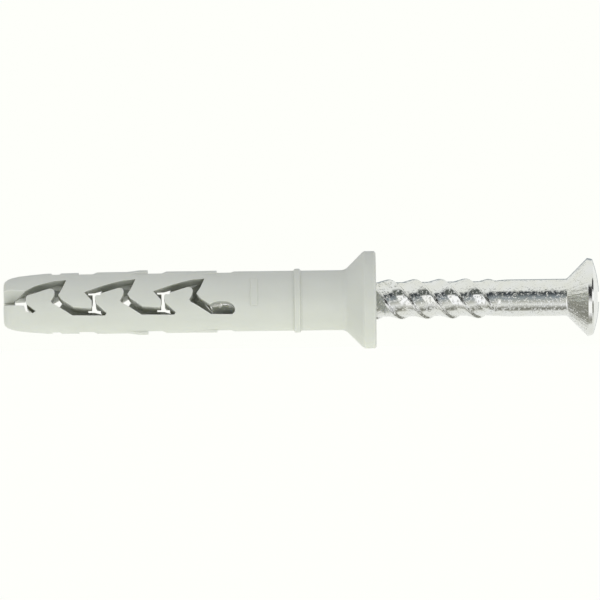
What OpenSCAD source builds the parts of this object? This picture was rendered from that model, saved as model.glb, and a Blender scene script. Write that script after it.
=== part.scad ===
// Hammer-set nylon frame plug with its drive screw started in it.
// The common axis is X, with the screw head at +X and the plug's nose at -X.
// The origin lies on that axis where the straight neck runs into the collar flare.

/* [Plug] */
// Diameter of the plug body, which is the hole that it goes into
body_d = 6; // [5.8:0.05:6.3]
// Length of the plug from its nose to the flare of the collar
shaft_len = 33.7; // [33.7:0.25:38]
// Diameter of the nose's flat end
nose_d = 3.9; // [3.5:0.1:4.2]
// Length over which the nose swells to the body
nose_len = 4.2; // [3.5:0.1:6]
// Extra radius of the slotted legs over the body
leg_swell = 0.08; // [0.02:0.01:0.12]
// Thickness of the web that ties the two legs together at the nose
nose_web = 1.2; // [0.8:0.1:1.6]
// Length of that web
nose_web_len = 1.1; // [0.8:0.1:1.3]

/* [Collar] */
// Diameter of the collar rim
collar_d = 9.72; // [9.4:0.02:11]
// Thickness of the rim
rim_len = 1.22; // [0.8:0.02:1.6]
// Radius of the fillet between the neck and the flare
flare_fillet = 1; // [0.5:0.05:1.5]
// Width of the rim's broken edges
rim_edge = 0.15; // [0.08:0.01:0.25]
// Width of the thin ring round the neck
ring_w = 0.75; // [0.5:0.05:1]
// Height of that ring above the body
ring_h = 0.2; // [0.1:0.02:0.25]
// Distance from the ring to the flare
ring_to_flare = 4; // [3:0.1:5]

/* [Zigzag slot] */
// Distance from one interlocking tooth to the next
tooth_pitch = 6.9; // [6.7:0.05:7]
// Number of teeth on each leg
teeth = 3; // [2:1:3]
// Distance from the nose's end to the datum of the first tooth
first_tooth = 1.3; // [1.3:0.05:1.7]
// Lean of each slot through its wall, in degrees
slot_lean = 15; // [12:0.5:17]
// Slope of the mouth that widens the slot at the nose, in degrees
mouth_slope = 48; // [42:1:54]

/* [Barbs] */
// Distance from the nose's end to the drop behind the first barb
first_barb = 7.5; // [7.1:0.1:7.9]
// Depth of the notch behind each barb
notch_depth = 0.2; // [0.1:0.02:0.3]
// Length over which a notch runs out again
notch_len = 1.9; // [1.4:0.1:2.2]
// Width of the raised barbs
barb_w = 2.2; // [1.4:0.1:3]
// Length of the raised barbs
barb_len = 2.1; // [1.2:0.1:3]
// Height of the tallest barb above its leg
barb_h = 0.15; // [0.05:0.01:0.2]
// Distance from the nose's end to the lone notch on its shoulder
nose_notch = 4.8; // [4.6:0.1:5.2]
// Width of the low rib across each slotted side
rib_w = 0.9; // [0.5:0.05:1.2]
// Height of that rib above the body
rib_h = 0.06; // [0.03:0.01:0.12]
// Distance from that rib to the thin ring
rib_to_ring = 3.5; // [3:0.1:4.5]

/* [Screw] */
// Diameter over the thread crests
thread_d = 4; // [3.8:0.05:4.2]
// Depth of the thread
thread_depth = 0.28; // [0.2:0.01:0.34]
// Distance that one turn drives the screw forward
thread_lead = 7.65; // [6.5:0.05:9]
// Number of thread starts
starts = 3; // [2:1:4]
// Diameter of the plain shank
shank_d = 3.7; // [3.6:0.02:3.8]
// Length of the plain shank between the thread and the head
shank_len = 6.9; // [5:0.1:9]
// Length of the threaded part with its point
thread_len = 31; // [30:0.25:32]
// Length of bare thread that stands out of the collar
thread_out = 12; // [11:0.25:13]
// Diameter of the point's blunt end
point_d = 0.8; // [0.5:0.05:1.2]
// Length of the tapered point
point_len = 2; // [1.5:0.1:2.2]

/* [Screw head] */
// Diameter of the head
head_d = 7.8; // [7.4:0.05:8.2]
// Height of the thin rim between the cone and the dome
head_rim = 0.5; // [0.3:0.05:0.7]
// Height of the dome
dome_h = 0.9; // [0.6:0.05:1.2]
// Width across the wings of the cross recess
recess_d = 4.3; // [3.8:0.05:4.6]
// Thickness of the recess's wings
wing_t = 1; // [0.8:0.05:1.2]
// Depth of the recess below the dome's crown
recess_depth = 2.4; // [1.8:0.1:2.6]

/* [Fits] */
// Radial clearance of the bore round the thread crests
bore_clear = 0.04; // [0.02:0.01:0.08]
// Radial clearance of the countersink round the screw head
seat_clear = 0.05; // [0.02:0.01:0.1]
// Diameter of the narrow bore between the legs
pilot_d = 2.6; // [2.4:0.1:2.8]

/* [Hidden] */
$fn = 64;
body_r = body_d / 2;
leg_r = body_r + leg_swell;
nose_r = nose_d / 2;
nose_x = -shaft_len;
collar_r = collar_d / 2;
fillet_run = flare_fillet * tan(22.5);
flare_end = fillet_run + collar_r - body_r;
face_x = flare_end + rim_len;
ring_x = -ring_to_flare;
crest_r = thread_d / 2;
root_r = crest_r - thread_depth;
shank_r = shank_d / 2;
head_r = head_d / 2;
bore_r = crest_r + bore_clear;
seat_r = head_r + seat_clear;
pilot_r = pilot_d / 2;
thread_end = face_x + thread_out;
tip_x = thread_end - thread_len;
cone_x = thread_end + shank_len;
head_x = cone_x + head_r - shank_r;
rim_x = head_x + head_rim;
crown_x = rim_x + dome_h;
dome_r = (head_r * head_r + dome_h * dome_h) / (2 * dome_h);
pilot_x = tip_x + point_len / 4;
web_x = nose_x + nose_web_len;
first_x = nose_x + first_tooth;
barb_x = nose_x + first_barb;
legs_full = barb_x + 0.4 * tooth_pitch;
legs_end = barb_x + (teeth - 1) * tooth_pitch;
over = 1;
reach = body_r + over;

function shift(points, x) = [for (p = points) [p[0] + x, p[1]]];
function flip(points) = [for (i = [len(points) - 1:-1:0]) points[i]];
function part_of(points, from, to) = [for (i = [from:to]) points[i]];
function tooth_x(k) = first_x + k * tooth_pitch;
function arc(x, y, r, from, to, n) =
  [for (i = [0:n]) [x + r * cos(from + (to - from) * i / n), y + r * sin(from + (to - from) * i / n)]];

// Revolves an outline of [radius, distance along the axis] round the X axis.
module turned() {
  rotate([0, 90, 0]) rotate_extrude() children();
}

// Pushes an outline of [distance along the axis, height] out through the front wall, towards -Y.
module through_front() {
  rotate([90, 0, 0]) translate([0, 0, -over]) linear_extrude(body_r + 3 * over) children();
}

// Shares of the nose's length, each with the share of its swell that is reached there.
nose_share = [[0, 0], [0.024, 0.24], [0.095, 0.45], [0.19, 0.6], [0.36, 0.745], [0.62, 0.867], [1, 1]];
nose_skin = [for (s = nose_share) [nose_x + s[0] * nose_len, nose_r + s[1] * (body_r - nose_r)]];
leg_skin = concat(nose_skin, [[legs_full, leg_r]]);

// Outside of the moulding: blunt nose, legs, barrel, thin ring, neck, filleted flare and rim.
module sleeve_outline() {
  polygon(concat(
    [[0, nose_x]],
    [for (p = leg_skin) [p[1], p[0]]],
    [[leg_r, legs_end - 0.4 * tooth_pitch], [body_r, legs_end]],
    [[body_r, ring_x - ring_w], [body_r + ring_h, ring_x - ring_w * 0.8]],
    [[body_r + ring_h, ring_x - ring_w * 0.2], [body_r, ring_x]],
    arc(body_r + flare_fillet, 0, flare_fillet, 180, 135, 6),
    [[collar_r - rim_edge, flare_end - rim_edge], [collar_r, flare_end + rim_edge / 2]],
    [[collar_r, face_x - rim_edge], [collar_r - rim_edge, face_x], [0, face_x]]
  ));
}

// Inside of the moulding: countersink, bore round the thread, taper at the point and pilot bore.
module bore_outline() {
  polygon([
    [0, face_x + over], [seat_r, face_x + over], [seat_r, face_x], [bore_r, face_x - seat_r + bore_r],
    [bore_r, tip_x + point_len], [pilot_r, pilot_x], [pilot_r, web_x], [0, web_x]
  ]);
}

// Edge of the upper leg over one tooth, from the tip of its undercut to the foot of the next.
// All these edges are as they show on the outside, square-on.
upper_edge = [
  [-0.12, 1.1], [0.3, 1.27], [1.8, 1.75], [2.6, 1.97], [3.8, 2.24], [5, 2.33], [4.6, 1.49],
  [4.2, 0.86], [4.5, 0.44], [5.7, -0.36], [7.4, -0.5], [7.53, -0.36], [7.53, 0.26]
];
// Edge of the lower leg over the same tooth, from the end of one run to the end of the next.
lower_edge = [
  [2.1, -1], [1.06, -0.02], [0.95, 0.62], [1.1, 0.82], [3.35, 1.5], [3.68, 1.42], [3.83, 1.15],
  [3.74, 0.75], [3.46, 0.28], [3.57, 0.05], [4.25, -0.33], [5.25, -0.98], [5.6, -1.2], [8.85, -1.25]
];
// Round opening that ends the slot and shows the screw.
end_edge = [
  [5.5, -0.24], [5.9, -0.02], [6.5, 0.1], [7.3, 0.02], [7.8, -0.25],
  [8.03, -0.65], [7.97, -1.02], [7.75, -1.24]
];
// Slit from the nose to the first tooth, along its upper side and then back along its lower side.
slit_low = -0.16;
mouth_top = 1.29;
mouth_end = first_x + 0.9;
slit_top = [[nose_x - over, 0.45], [first_x - 0.2, 0.55], [first_x + 0.95, 1.32]];
slit_foot = [
  [first_x + 1.95, -0.72], [first_x + 1.6, -0.95], [first_x + 0.95, -0.75],
  [first_x + 0.76, slit_low], [nose_x - over, slit_low]
];
// Narrow window through both walls where a run starts and ends: start, length, middle, height.
window = [0.2, 1.3, 0.88, 0.17];

// Takes an edge on the outside to where a cut that leans has it on its own plane.
function leaned(points, lean) = [for (p = points) let (r = lookup(p[0], leg_skin))
  [p[0], cos(lean) * p[1] - sin(lean) * sqrt(r * r - p[1] * p[1])]];

// Share of the full height that each barb has, from the nose on. The first is flush with its leg.
barb_share = [0, 1, 0.1];

// Zigzag outline of the slot in the front wall. Its teeth hook into each other.
module slot_outline() {
  last = teeth - 1;
  tooth_len = len(lower_edge);
  polygon(leaned(concat(
    slit_top,
    shift(part_of(upper_edge, 2, 12), tooth_x(0)),
    [for (k = [1:1:last - 1]) each shift(upper_edge, tooth_x(k))],
    shift(part_of(upper_edge, 0, 8), tooth_x(last)),
    shift(end_edge, tooth_x(last)),
    shift(flip(part_of(lower_edge, 0, tooth_len - 2)), tooth_x(last)),
    [for (k = [last - 1:-1:1]) each shift(flip(lower_edge), tooth_x(k))],
    shift(flip(part_of(lower_edge, 1, tooth_len - 1)), tooth_x(0)),
    slit_foot
  ), slot_lean));
}

// Mouth that widens the slit at the nose, with a roof that slopes down to the web.
module mouth() {
  low = slit_low + 0.03;
  intersection() {
    rotate([-mouth_slope, 0, 0]) through_front() polygon(leaned([
      [nose_x - over, mouth_top], [mouth_end, mouth_top], [mouth_end, -1], [nose_x - over, -1]
    ], mouth_slope));
    translate([nose_x - 2 * over, -reach, low])
      cube([mouth_end - nose_x + 3 * over, reach - nose_web / 4, reach]);
  }
}

// Front half of the slot, cut in to the mid-plane, with its mouth. The nose web is left standing.
module front_slot() {
  difference() {
    union() {
      intersection() {
        rotate([-slot_lean, 0, 0]) through_front() slot_outline();
        translate([nose_x - 2 * over, -reach, -reach]) cube([shaft_len + over, reach, 2 * reach]);
      }
      mouth();
    }
    translate([nose_x - over, -nose_web / 2, -body_r]) cube([over + nose_web_len, nose_web, body_d]);
  }
}

// Windows that go right through, one for the start and one for the end of each inner run.
module windows() {
  for (k = [1:teeth - 1], side = [-1, 1])
    translate([tooth_x(k) + window[0], -reach, side * window[2] - window[3] / 2])
      cube([window[1], 2 * reach, window[3]]);
}

// Chord-shaped notch, steep towards the nose and running out towards the collar.
module notch(x, length) {
  low = leg_r - notch_depth;
  rotate([90, 0, 0]) linear_extrude(body_d, center = true)
    polygon([[x, low], [x + length * 0.75, low], [x + length, leg_r + 0.01],
             [x + length, body_r + over], [x, body_r + over]]);
}

// Raised barb. Its ramp climbs towards the collar and ends in a steep face at x.
module barb(x, height) {
  crest = leg_r + height;
  intersection() {
    turned() polygon([[leg_r - 0.3, x - barb_len], [leg_r, x - barb_len], [crest, x - barb_len * 0.4],
                      [crest, x], [leg_r - 0.3, x]]);
    translate([x - barb_len, -barb_w / 2, 0]) cube([barb_len, barb_w, 2 * body_r]);
  }
}

// Low rib that runs part of the way round, over the upper half of the front wall.
module rib() {
  x = ring_x - ring_w - rib_to_ring;
  crest = body_r + rib_h;
  intersection() {
    turned() polygon([[body_r - 0.3, x - rib_w], [crest, x - rib_w * 0.85], [crest, x - rib_w * 0.15],
                      [body_r - 0.3, x]]);
    translate([x - rib_w, -crest, -body_r * 0.13]) cube([rib_w, crest, body_r * 0.87]);
  }
}

module plug_sleeve() {
  color("#cfd1ca") difference() {
    union() {
      turned() sleeve_outline();
      for (side = [0, 180]) rotate([side, 0, 0]) {
        rib();
        for (k = [0:teeth - 1])
          if (barb_share[k] > 0) barb(barb_x + k * tooth_pitch, barb_h * barb_share[k]);
      }
    }
    turned() bore_outline();
    windows();
    for (side = [0, 180]) rotate([side, 0, 0]) {
      front_slot();
      notch(nose_x + nose_notch, notch_len * 0.55);
      for (k = [0:teeth - 1]) notch(barb_x + k * tooth_pitch, notch_len);
    }
  }
}

// Share of the thread depth that is reached at each share of a ridge's width. The flank that
// faces the point rises slowly and the flank that faces the head drops steeply.
ridge = [
  [0, 0.05], [0.1, 0.32], [0.2, 0.62], [0.3, 0.9], [0.36, 1], [0.42, 0.98], [0.5, 0.1], [0.66, 0], [0.84, 0]
];
// Angle that brings the ridges round to where they stand
thread_turn = 32;

function crest_at(x) = min(crest_r, point_d / 2 + (x - tip_x) * (crest_r - point_d / 2) / point_len);

// Threaded length with its point, swept as rings that turn with the lead.
module threaded_core() {
  blend_len = 0.9;
  core_r = shank_r - 0.08;
  sink = 0.15;
  rings = ceil((thread_len + sink) / 0.33);
  count = starts * len(ridge);
  function blend(x) = max(0, min(1, (x - thread_end + blend_len) / blend_len));
  function radius(x, h) =
    let (top = crest_at(x), foot = min(root_r, top * 0.9))
    (foot + (top - foot) * h) * (1 - blend(x)) + core_r * blend(x);
  points = [for (i = [0:rings]) let (x = tip_x + (thread_len + sink) * i / rings)
    for (s = [0:starts - 1], p = ridge)
      let (angle = 360 * x / thread_lead - (s + p[0]) * 360 / starts + thread_turn, r = radius(x, p[1]))
      [x, r * cos(angle), r * sin(angle)]];
  sides = [for (i = [0:rings - 1], j = [0:count - 1])
    let (a = i * count + j, b = i * count + (j + 1) % count)
    each [[a, b, b + count], [a, b + count, a + count]]];
  start = [for (j = [count - 1:-1:0]) j];
  end = [for (j = [0:count - 1]) rings * count + j];
  polyhedron(points = points, faces = concat(sides, [start, end]));
}

// Plain shank, countersunk cone, thin rim and dome.
module head_outline() {
  half = asin(head_r / dome_r);
  polygon(concat(
    [[0, thread_end], [shank_r - 0.06, thread_end], [shank_r, thread_end + 0.2], [shank_r, cone_x]],
    [[head_r - 0.04, head_x - 0.04], [head_r, head_x + 0.06], [head_r, rim_x - 0.05]],
    arc(0, crown_x - dome_r, dome_r, 90 - half * 0.985, 90, 10)
  ));
}

// Tapered cross recess for the driver.
module cross_recess() {
  floor_x = crown_x - recess_depth;
  intersection() {
    turned() polygon([[0, floor_x], [wing_t * 0.7, floor_x], [recess_d / 2, crown_x - dome_h / 3],
                      [recess_d / 2, crown_x + over], [0, crown_x + over]]);
    union() {
      for (a = [0, 90])
        rotate([a, 0, 0]) translate([floor_x - over, -recess_d, -wing_t / 2])
          cube([recess_depth + 2 * over, 2 * recess_d, wing_t]);
      turned() polygon([[0, floor_x - over], [wing_t * 0.55, floor_x - over],
                        [wing_t * 0.85, crown_x + over], [0, crown_x + over]]);
    }
  }
}

module drive_screw() {
  color("#c9ccce") {
    threaded_core();
    difference() {
      turned() head_outline();
      cross_recess();
    }
  }
}

plug_sleeve();
drive_screw();
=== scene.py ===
import math

import bpy
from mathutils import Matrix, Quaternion, Vector


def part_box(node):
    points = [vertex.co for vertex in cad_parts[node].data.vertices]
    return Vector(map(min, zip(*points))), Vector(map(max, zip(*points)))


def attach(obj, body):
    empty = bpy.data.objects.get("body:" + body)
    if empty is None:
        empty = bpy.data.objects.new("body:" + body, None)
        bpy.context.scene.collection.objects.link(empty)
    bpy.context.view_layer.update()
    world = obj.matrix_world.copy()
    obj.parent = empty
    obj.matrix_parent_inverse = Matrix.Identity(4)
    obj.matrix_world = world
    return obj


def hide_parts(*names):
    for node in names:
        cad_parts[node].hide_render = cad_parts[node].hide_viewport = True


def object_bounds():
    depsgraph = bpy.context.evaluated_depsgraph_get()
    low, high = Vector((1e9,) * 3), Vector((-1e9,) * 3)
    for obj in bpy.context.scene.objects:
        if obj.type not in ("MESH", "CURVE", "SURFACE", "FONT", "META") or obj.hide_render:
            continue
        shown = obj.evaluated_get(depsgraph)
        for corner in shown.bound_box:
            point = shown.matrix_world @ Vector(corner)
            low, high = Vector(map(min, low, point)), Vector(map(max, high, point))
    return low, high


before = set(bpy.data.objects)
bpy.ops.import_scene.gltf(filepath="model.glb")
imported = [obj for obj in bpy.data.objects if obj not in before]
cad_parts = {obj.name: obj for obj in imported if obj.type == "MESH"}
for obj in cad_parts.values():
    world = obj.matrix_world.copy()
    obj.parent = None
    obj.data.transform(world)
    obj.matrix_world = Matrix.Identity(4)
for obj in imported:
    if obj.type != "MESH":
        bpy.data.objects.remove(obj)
cad_low, cad_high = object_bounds()

# Camera. A long lens looks square-on at the slotted side, level with the surface that the plug
# lies on, with the plug's axis rising slightly to the right across the picture.
PICTURE_WIDTH = 0.060
CAMERA_AWAY = 1.0
CAMERA_ABOVE_SURFACE = 0.0002
SENSOR_WIDTH = 36.0
AXIS_RISE = math.radians(0.72)
surface_z = cad_low.z
aim = Vector((-0.0041, 0.0, 0.00006))
camera = bpy.data.objects.new("camera", bpy.data.cameras.new("camera"))
bpy.context.scene.collection.objects.link(camera)
camera.data.sensor_width = SENSOR_WIDTH
camera.data.lens = SENSOR_WIDTH * CAMERA_AWAY / PICTURE_WIDTH
camera.data.clip_start = 0.001
camera.location = (aim.x, -CAMERA_AWAY, surface_z + CAMERA_ABOVE_SURFACE)
camera.rotation_mode = "QUATERNION"
looks_along = (aim - camera.location).to_track_quat("-Z", "Y")
camera.rotation_quaternion = looks_along @ Quaternion((0, 0, 1), -AXIS_RISE)
bpy.context.scene.camera = camera


# White studio. A white sky all round, a broad soft lamp in front, and a sheet of opal acrylic to lie
# on. The sheet glows from below, so the underside of the plug is a touch lighter than its top.
def colour(hex_code):
    """Linear colour of an sRGB hex code."""
    parts = [int(hex_code[i : i + 2], 16) / 255 for i in (1, 3, 5)]
    return [p / 12.92 if p <= 0.04045 else ((p + 0.055) / 1.055) ** 2.4 for p in parts] + [1.0]


def add(nodes, kind, settings=None, **links):
    """Adds a node with its properties, values and colour stops, and links its inputs by name.

    A link named i6 goes to input number 6.
    """
    node = nodes.new(kind)
    for name, value in (settings or {}).items():
        if name == "stops":
            elements = node.color_ramp.elements
            elements.remove(elements[1])
            elements[0].position = value[0][0]
            elements[0].color = colour(value[0][1])
            for place, hex_code in value[1:]:
                elements.new(place).color = colour(hex_code)
        elif isinstance(name, int) or name in node.inputs:
            node.inputs[name].default_value = value
        else:
            setattr(node, name, value)
    for name, source in links.items():
        key = int(name[1:]) if name[1:].isdigit() else name.replace("_", " ")
        nodes.id_data.links.new(source, node.inputs[key])
    return node


world = bpy.data.worlds.new("white studio")
bpy.context.scene.world = world
world.use_nodes = True
nodes = world.node_tree.nodes
nodes.clear()
# The camera sees a white backdrop, and the light that falls on the part is half as strong.
sky = add(nodes, "ShaderNodeBackground", {"Color": colour("#FBFCFF"), "Strength": 0.53})
backdrop = add(nodes, "ShaderNodeBackground", {"Color": colour("#FEFFFA"), "Strength": 1.0})
path = add(nodes, "ShaderNodeLightPath")
through = add(
    nodes, "ShaderNodeMath", {"operation": "ADD"},
    i0=path.outputs["Is Camera Ray"], i1=path.outputs["Is Transmission Ray"],
)
seen = add(
    nodes, "ShaderNodeMixShader", i0=through.outputs[0], i1=sky.outputs[0], i2=backdrop.outputs[0]
)
# Metal mirrors a white tent, open at the front, where the darker room shows. A lamp panel hangs on
# either side of the opening, with a dark board over it. Further out there is a grey card on the left,
# and a card, a lamp and a board on the right. Each list gives plain shades at heights from -1,
# straight down, to 1, straight up.
LAMP = "#FFFFFF"
TENT = "#E6E7E3"
SHEET = "#B8B8B0"
GREY = "#A0A098"
HAZE = "#90989C"
CARD = "#808078"
SHADE = "#585C58"
ROOM = "#3C4044"
BOARD = "#303030"
TENT_LAMPS = 1.25
OPENING = [
    (-1, SHEET), (-0.98, CARD), (-0.94, CARD), (-0.7, TENT), (-0.44, SHEET), (0, HAZE), (0.4, ROOM),
    (0.6, ROOM), (0.74, TENT),
]
LEFT = [(-0.92, GREY), (-0.74, LAMP), (-0.02, LAMP), (0.1, SHADE), (0.52, SHADE), (0.72, TENT)]
FAR_LEFT = [(-1, SHEET), (-0.4, CARD), (0.06, GREY), (0.28, TENT)]
RIGHT = [
    (-0.98, SHEET), (-0.92, CARD), (-0.7, LAMP), (-0.28, LAMP), (0.04, BOARD), (0.46, BOARD), (0.62, TENT),
]
FAR_RIGHT = [
    (-0.76, TENT), (-0.6, CARD), (-0.26, CARD), (-0.14, LAMP), (0.22, LAMP), (0.32, BOARD), (0.66, BOARD),
    (0.72, TENT),
]
REAR = [(-0.1, TENT), (0, HAZE), (0.5, HAZE), (0.62, TENT)]
way = add(nodes, "ShaderNodeTexCoord").outputs["Generated"]
along_x, along_y, height = add(nodes, "ShaderNodeSeparateXYZ", Vector=way).outputs
across = add(nodes, "ShaderNodeMapRange", {"From Min": -1.0, "From Max": 1.0}, Value=along_x).outputs[0]
upward = add(nodes, "ShaderNodeMapRange", {"From Min": -1.0, "From Max": 1.0}, Value=height).outputs[0]


def hang(nodes, wall, window, shades):
    """Wall of the tent with a thing hung where the window is 1, going from left to right."""
    over = [(0.5 + value / 2, "#FFFFFF" if shown else "#000000") for value, shown in window]
    by_height = [(0.5 + value / 2, hex_code) for value, hex_code in shades]
    return add(
        nodes, "ShaderNodeMix", {"data_type": "RGBA"}, i6=wall,
        Factor=add(nodes, "ShaderNodeValToRGB", {"stops": over}, Fac=across).outputs[0],
        i7=add(nodes, "ShaderNodeValToRGB", {"stops": by_height}, Fac=upward).outputs[0],
    ).outputs["Result"]


wall = add(nodes, "ShaderNodeValToRGB", {"stops": [(0, TENT)]}, Fac=upward).outputs[0]
middle = [(-0.28, 0), (-0.2, 1), (0.17, 1), (0.25, 0)]
front = hang(nodes, wall, middle, OPENING)
front = hang(nodes, front, [(-0.74, 0), (-0.66, 1), (-0.28, 1), (-0.2, 0)], LEFT)
front = hang(nodes, front, [(0.2, 0), (0.27, 1), (0.48, 1), (0.55, 0)], RIGHT)
back = hang(nodes, wall, middle, REAR)
behind = add(nodes, "ShaderNodeMapRange", {"From Min": -0.03, "From Max": 0.03}, Value=along_y)
sides = add(
    nodes, "ShaderNodeMix", {"data_type": "RGBA"}, Factor=behind.outputs[0], i6=front, i7=back
).outputs["Result"]
around = hang(nodes, sides, [(-0.74, 1), (-0.64, 0)], FAR_LEFT)
around = hang(nodes, around, [(0.56, 0), (0.62, 1)], FAR_RIGHT)
tent = add(nodes, "ShaderNodeBackground", {"Strength": TENT_LAMPS}, Color=around)
either = add(
    nodes, "ShaderNodeMixShader", i0=path.outputs["Is Glossy Ray"], i1=seen.outputs[0], i2=tent.outputs[0]
)
add(nodes, "ShaderNodeOutputWorld", Surface=either.outputs[0])

# Opal acrylic is white and matt to the eye, with no grain. LIFT makes it as white as the backdrop in
# the picture, and lights nothing.
GLOW = 0.61
LIFT = 0.073
acrylic = bpy.data.materials.new("opal acrylic")
acrylic.use_nodes = True
nodes = acrylic.node_tree.nodes
nodes.clear()
path = add(nodes, "ShaderNodeLightPath")
strength = add(
    nodes, "ShaderNodeMath", {"operation": "MULTIPLY_ADD", 1: LIFT, 2: GLOW},
    i0=path.outputs["Is Camera Ray"],
)
glow = add(nodes, "ShaderNodeEmission", {"Color": colour("#FEFFFC")}, Strength=strength.outputs[0])
matt = add(nodes, "ShaderNodeBsdfDiffuse", {"Color": colour("#C8C8C0")})
both = add(nodes, "ShaderNodeAddShader", i0=matt.outputs[0], i1=glow.outputs[0])
add(nodes, "ShaderNodeOutputMaterial", Surface=both.outputs[0])

SHEET_HALF = 4.0
SHEET_GAP = 0.00002
sheet_z = surface_z - SHEET_GAP
ends = ((-1, -1), (1, -1), (1, 1), (-1, 1))
sheet = bpy.data.meshes.new("sheet")
sheet.from_pydata([(x * SHEET_HALF, y * SHEET_HALF, sheet_z) for x, y in ends], [], [(0, 1, 2, 3)])
sheet.materials.append(acrylic)
floor = bpy.data.objects.new("floor", sheet)
bpy.context.scene.collection.objects.link(floor)
floor.visible_glossy = False

key = bpy.data.objects.new("key", bpy.data.lights.new("key", "SUN"))
bpy.context.scene.collection.objects.link(key)
key.data.energy = 0.56
key.data.angle = math.radians(40)
key.visible_glossy = False
key.rotation_euler = (math.radians(78), 0, math.radians(6))


# Plug sleeve. One injection moulding in light grey nylon 6, with its slot, barbs, ring and flared
# collar all in the tool. It has a satin skin from the blasted steel, and lets a little light in.
PER_MM = 1000.0


def moulded_nylon():
    """Nylon 6 as it leaves a blasted steel tool, with soft highlights and no mirror image."""
    material = bpy.data.materials.new("moulded grey nylon")
    material.use_nodes = True
    nodes = material.node_tree.nodes
    nodes.clear()
    place = add(nodes, "ShaderNodeTexCoord").outputs["Object"]
    # Clouding from the melt's flow, in patches of 3 mm.
    cloud = add(nodes, "ShaderNodeTexNoise", {"Scale": 0.33 * PER_MM, "Detail": 3.0}, Vector=place)
    skin = add(
        nodes, "ShaderNodeMix", {"data_type": "RGBA", 6: colour("#D7DAD2"), 7: colour("#E0E3DC")},
        Factor=cloud.outputs["Fac"],
    )
    # Painted shade: within 1.2 mm of its own surfaces, in the slot and other recesses, the nylon's colour
    # is darkened towards olive, for the dim olive light that bounces about in the narrow slot.
    slot_shade_occlusion = add(
        nodes, "ShaderNodeAmbientOcclusion", {"samples": 8, "only_local": True, "Distance": 0.0012}
    )
    depth = add(
        nodes, "ShaderNodeMapRange", {"From Min": 0.1, "From Max": 0.55}, Value=slot_shade_occlusion.outputs["AO"]
    )
    shade = add(
        nodes, "ShaderNodeMix", {"data_type": "RGBA", 6: colour("#8C8E76")},
        Factor=depth.outputs[0], i7=skin.outputs["Result"],
    )
    # Painted shade: the colour is darkened towards grey in the inner corners, within 0.3 mm of them.
    corner_shade_occlusion = add(
        nodes, "ShaderNodeAmbientOcclusion", {"samples": 8, "only_local": True, "Distance": 0.0003}
    )
    corner_shade = add(
        nodes, "ShaderNodeMapRange", {"From Min": 0.97, "From Max": 0.7, "To Max": 0.5},
        Value=corner_shade_occlusion.outputs["AO"],
    )
    shade = add(
        nodes, "ShaderNodeMix", {"data_type": "RGBA", 7: colour("#A9AB9E")},
        Factor=corner_shade.outputs[0], i6=shade.outputs["Result"],
    )
    # The tool's corners are rounded by 0.06 mm. Painted highlight: near corners the colour is painted
    # paler, for light that comes through thin edges.
    corner = add(nodes, "ShaderNodeBevel", {"samples": 6, "Radius": 0.00006})
    wide_corner = add(nodes, "ShaderNodeBevel", {"samples": 6, "Radius": 0.00015})
    face = add(nodes, "ShaderNodeNewGeometry")
    alike = add(
        nodes, "ShaderNodeVectorMath", {"operation": "DOT_PRODUCT"},
        i0=wide_corner.outputs["Normal"], i1=face.outputs["True Normal"],
    )
    edge_highlight_share = add(
        nodes, "ShaderNodeMapRange", {"From Min": 0.99, "From Max": 0.8, "To Max": 0.7},
        Value=alike.outputs["Value"],
    )
    edge_highlight = add(
        nodes, "ShaderNodeMix", {"data_type": "RGBA", 7: colour("#F7F9F2")},
        Factor=edge_highlight_share.outputs[0], i6=shade.outputs["Result"],
    )
    # The tool's blasted grain is 0.03 mm and drawn at 0.1 mm.
    grain = add(nodes, "ShaderNodeTexNoise", {"Scale": 10.0 * PER_MM, "Detail": 2.0}, Vector=place)
    bump = add(
        nodes, "ShaderNodeBump", {"Strength": 0.3, "Distance": 0.00003},
        Height=grain.outputs["Fac"], Normal=corner.outputs["Normal"],
    )
    shader = add(
        nodes, "ShaderNodeBsdfPrincipled",
        {
            "Roughness": 0.45, "IOR": 1.53, "Subsurface Weight": 0.3,
            "Subsurface Radius": (1.0, 0.95, 0.7), "Subsurface Scale": 0.0005,
        },
        Base_Color=edge_highlight.outputs["Result"], Normal=bump.outputs["Normal"],
    )
    add(nodes, "ShaderNodeOutputMaterial", Surface=shader.outputs[0])
    return material


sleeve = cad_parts["plug_sleeve"]
sleeve.data.materials.clear()
sleeve.data.materials.append(moulded_nylon())


# Drive screw. Steel wire with a cold-headed cross recess head and a rolled three-start thread,
# whose ridges climb slowly from the point and drop steeply on the head's side, then bright zinc.
screw_low, screw_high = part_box("drive_screw")
TIP_X = screw_low.x
CROWN_X = screw_high.x
HEAD_R = screw_high.y
CREST_R = 0.0020
ROOT_R = 0.00172
SHANK_R = 0.00185
CORE_R = 0.00177
LEAD = 0.00765
STARTS = 3
TURN = math.radians(32)
THREAD_LEN = 0.031
POINT_R = 0.0004
POINT_LEN = 0.002
POINT_ROOT = 0.9
BLEND_LEN = 0.0009
DOME_H = 0.0007
DOME_SHARE = 0.965
DOME_RINGS = 12
HEAD_RIM = 0.0005
RING_STEP = 0.0001
SHARP = math.radians(48)
thread_end = TIP_X + THREAD_LEN
rim_x = CROWN_X - DOME_H
head_x = rim_x - HEAD_RIM
cone_x = head_x - HEAD_R + SHANK_R
dome_r = (HEAD_R**2 + DOME_H**2) / (2 * DOME_H)
# Height of a ridge, as a share of the thread's depth, at shares of the way to the next ridge.
RIDGE = [
    (0, 0.04), (0.04, 0.13), (0.08, 0.23), (0.13, 0.36), (0.18, 0.49), (0.23, 0.62), (0.28, 0.75),
    (0.33, 0.875), (0.365, 0.96), (0.385, 0.995), (0.4, 1), (0.412, 0.975), (0.424, 0.9), (0.438, 0.77),
    (0.453, 0.6), (0.468, 0.42), (0.483, 0.26), (0.498, 0.13), (0.515, 0.04), (0.54, 0), (0.62, 0),
    (0.74, 0), (0.86, 0), (0.95, 0.005),
]
AROUND = STARTS * len(RIDGE)


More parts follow.
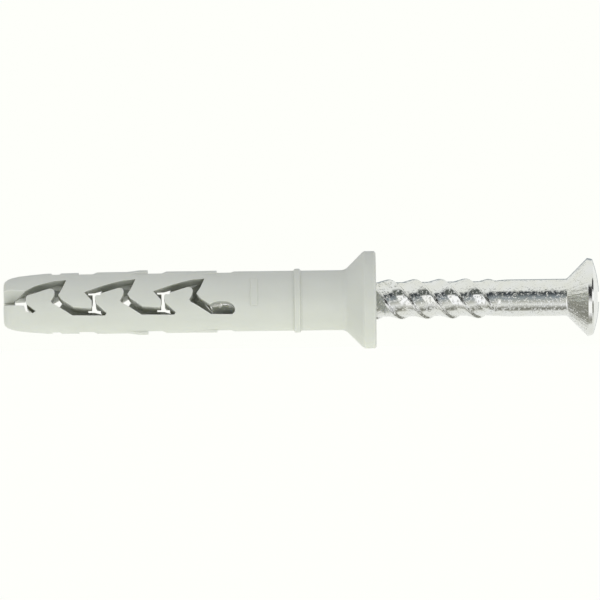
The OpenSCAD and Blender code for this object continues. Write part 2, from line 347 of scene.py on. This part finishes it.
def thread_ring(x):
    """One turn of points across the threaded part, which follow the ridges as x grows."""
    crest = min(CREST_R, POINT_R + (x - TIP_X) * (CREST_R - POINT_R) / POINT_LEN)
    root = min(ROOT_R, crest * POINT_ROOT)
    plain = min(1, max(0, (x - thread_end + BLEND_LEN) / BLEND_LEN))
    ring = []
    for start in range(STARTS):
        for along, height in RIDGE:
            angle = math.tau * (x / LEAD - (start + along) / STARTS) + TURN
            r = (root + (crest - root) * height) * (1 - plain) + CORE_R * plain
            ring.append((x, r * math.cos(angle), r * math.sin(angle)))
    return ring


def turned_ring(x, r):
    """One turn of points across the turned part, in line with the last of the thread."""
    ring = []
    for i in range(AROUND):
        angle = math.tau * (thread_end / LEAD - i / AROUND) + TURN
        ring.append((x, r * math.cos(angle), r * math.sin(angle)))
    return ring


steps = round(THREAD_LEN / RING_STEP)
rings = [thread_ring(TIP_X + THREAD_LEN * i / steps) for i in range(steps + 1)]
# The shank swells gently after the thread, and every corner up to the crown is slightly rounded.
outline = [
    (thread_end + 0.0002, CORE_R + 0.00001), (thread_end + 0.0005, SHANK_R - 0.00004),
    (thread_end + 0.0009, SHANK_R - 0.00001), (thread_end + 0.0013, SHANK_R), (cone_x - 0.0001, SHANK_R),
    (cone_x + 0.00003, SHANK_R + 0.00003), (cone_x + 0.0002, SHANK_R + 0.00018),
    (head_x - 0.00008, HEAD_R - 0.0001), (head_x - 0.00002, HEAD_R - 0.00004),
    (head_x + 0.00003, HEAD_R), (head_x + 0.00006, HEAD_R - 0.000005),
    (rim_x - 0.00012, HEAD_R - 0.00006), (rim_x - 0.00009, HEAD_R - 0.000066),
    (rim_x - 0.00003, HEAD_R - 0.0001),
]
half = math.asin(HEAD_R / dome_r) * DOME_SHARE
for i in range(DOME_RINGS):
    tilt = half * (1 - i / DOME_RINGS)
    outline.append((CROWN_X - dome_r * (1 - math.cos(tilt)), dome_r * math.sin(tilt)))
rings += [turned_ring(x, r) for x, r in outline]
points = [point for ring in rings for point in ring] + [(TIP_X, 0, 0), (CROWN_X, 0, 0)]
faces = []
for i in range(len(rings) - 1):
    for j in range(AROUND):
        a, b = i * AROUND + j, i * AROUND + (j + 1) % AROUND
        faces.append((a, b, b + AROUND, a + AROUND))
last = (len(rings) - 1) * AROUND
for j in range(AROUND):
    faces.append((len(points) - 2, (j + 1) % AROUND, j))
    faces.append((len(points) - 1, last + j, last + (j + 1) % AROUND))
mesh = bpy.data.meshes.new("drive_screw_formed")
mesh.from_pydata(points, [], faces)
screw = bpy.data.objects.new("drive_screw_formed", mesh)
bpy.context.scene.collection.objects.link(screw)

# The punch that forms the cross recess tapers towards its floor.
RECESS_HALF = 0.00215
WING_HALF = 0.0005
RECESS_DEPTH = 0.0024
floor_x = CROWN_X - RECESS_DEPTH


def cross_ring(x, reach, web):
    """Cross-shaped outline with wings that reach out and a web that fills its inner corners."""
    quarter = [(reach, -WING_HALF), (reach, WING_HALF), (web, WING_HALF), (WING_HALF, web)]
    ring = []
    for turn in range(4):
        c, s = math.cos(turn * math.pi / 2), math.sin(turn * math.pi / 2)
        ring += [(x, c * y - s * z, s * y + c * z) for y, z in quarter]
    return ring


punch_rings = [
    cross_ring(floor_x, 0.0007, 0.00055), cross_ring(CROWN_X - DOME_H / 3, RECESS_HALF, 0.0008),
    cross_ring(CROWN_X + 0.001, RECESS_HALF, 0.0009),
]
count = len(punch_rings[0])
punch_points = [point for ring in punch_rings for point in ring]
punch_faces = [tuple(reversed(range(count))), tuple(range(2 * count, 3 * count))]
for i in range(2):
    for j in range(count):
        a, b = i * count + j, i * count + (j + 1) % count
        punch_faces.append((a, b, b + count, a + count))
punch_mesh = bpy.data.meshes.new("punch")
punch_mesh.from_pydata(punch_points, [], punch_faces)
punch = bpy.data.objects.new("punch", punch_mesh)
bpy.context.scene.collection.objects.link(punch)
cut = screw.modifiers.new("recess", "BOOLEAN")
cut.operation = "DIFFERENCE"
cut.solver = "EXACT"
cut.object = punch
formed = bpy.data.meshes.new_from_object(screw.evaluated_get(bpy.context.evaluated_depsgraph_get()))
screw.modifiers.clear()
screw.data = formed
bpy.data.objects.remove(punch)
screw.data.shade_smooth()
screw.data.set_sharp_from_angle(angle=SHARP)


def bright_zinc():
    """Bright zinc plate, which mirrors its surroundings almost sharply in a cool silver."""
    material = bpy.data.materials.new("bright zinc plate")
    material.use_nodes = True
    nodes = material.node_tree.nodes
    nodes.clear()
    place = add(nodes, "ShaderNodeTexCoord").outputs["Object"]
    x, y, z = add(nodes, "ShaderNodeSeparateXYZ", Vector=place).outputs
    # Small dents of the wire show through the plate, 0.2 mm across and some way apart. The heading
    # punch has pressed most of them out of the crown and its rim.
    dents = add(nodes, "ShaderNodeTexNoise", {"Scale": 4.5 * PER_MM, "Detail": 2.0}, Vector=place)
    rims = add(
        nodes, "ShaderNodeMapRange", {"From Min": 0.54, "From Max": 0.74}, Value=dents.outputs["Fac"]
    )
    pressed = add(
        nodes, "ShaderNodeMapRange",
        {"From Min": head_x - 0.0001, "From Max": head_x, "To Min": 1.0, "To Max": 0.2}, Value=x,
    )
    bump = add(
        nodes, "ShaderNodeBump", {"Distance": 0.000025},
        Strength=pressed.outputs[0], Height=rims.outputs[0],
    )
    # The heading die leaves streaks up the cone under the head, 2 mm long and 4 to a mm where the cone's
    # radius is 3 mm.
    round_axis = add(nodes, "ShaderNodeMath", {"operation": "ARCTAN2"}, i0=y, i1=z)
    unrolled = add(nodes, "ShaderNodeCombineXYZ", X=x, Y=round_axis.outputs[0])
    drawn = add(
        nodes, "ShaderNodeMapping", {"vector_type": "POINT", "Scale": (0.5 * PER_MM, 4.0 * 3.0, 1.0)},
        Vector=unrolled.outputs[0],
    )
    streaks = add(nodes, "ShaderNodeTexNoise", {"Scale": 1.0, "Detail": 2.0}, Vector=drawn.outputs[0])
    rises = add(
        nodes, "ShaderNodeMapRange", {"From Min": cone_x, "From Max": cone_x + 0.0003}, Value=x
    )
    falls = add(
        nodes, "ShaderNodeMapRange", {"From Min": head_x, "From Max": head_x - 0.0002}, Value=x
    )
    on_cone = add(
        nodes, "ShaderNodeMath", {"operation": "MULTIPLY"}, i0=rises.outputs[0], i1=falls.outputs[0]
    )
    bump = add(
        nodes, "ShaderNodeBump", {"Distance": 0.00006},
        Strength=on_cone.outputs[0], Height=streaks.outputs["Fac"], Normal=bump.outputs["Normal"],
    )
    # The plate is a little duller and yellower in patches of about 1 mm.
    patch = add(nodes, "ShaderNodeTexNoise", {"Scale": 0.9 * PER_MM, "Detail": 3.0}, Vector=place)
    tone = add(
        nodes, "ShaderNodeMix", {"data_type": "RGBA", 6: colour("#DBDBD0"), 7: colour("#E5E7EC")},
        Factor=patch.outputs["Fac"],
    )
    gloss = add(
        nodes, "ShaderNodeMapRange", {"From Min": 0.3, "From Max": 0.7, "To Min": 0.16, "To Max": 0.08},
        Value=patch.outputs["Fac"],
    )
    shader = add(
        nodes, "ShaderNodeBsdfPrincipled", {"Metallic": 1.0},
        Base_Color=tone.outputs["Result"], Roughness=gloss.outputs[0], Normal=bump.outputs["Normal"],
    )
    add(nodes, "ShaderNodeOutputMaterial", Surface=shader.outputs[0])
    return material


screw.data.materials.clear()
screw.data.materials.append(bright_zinc())
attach(screw, "root")
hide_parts("drive_screw")

bpy.context.scene.view_settings.view_transform = "Standard"
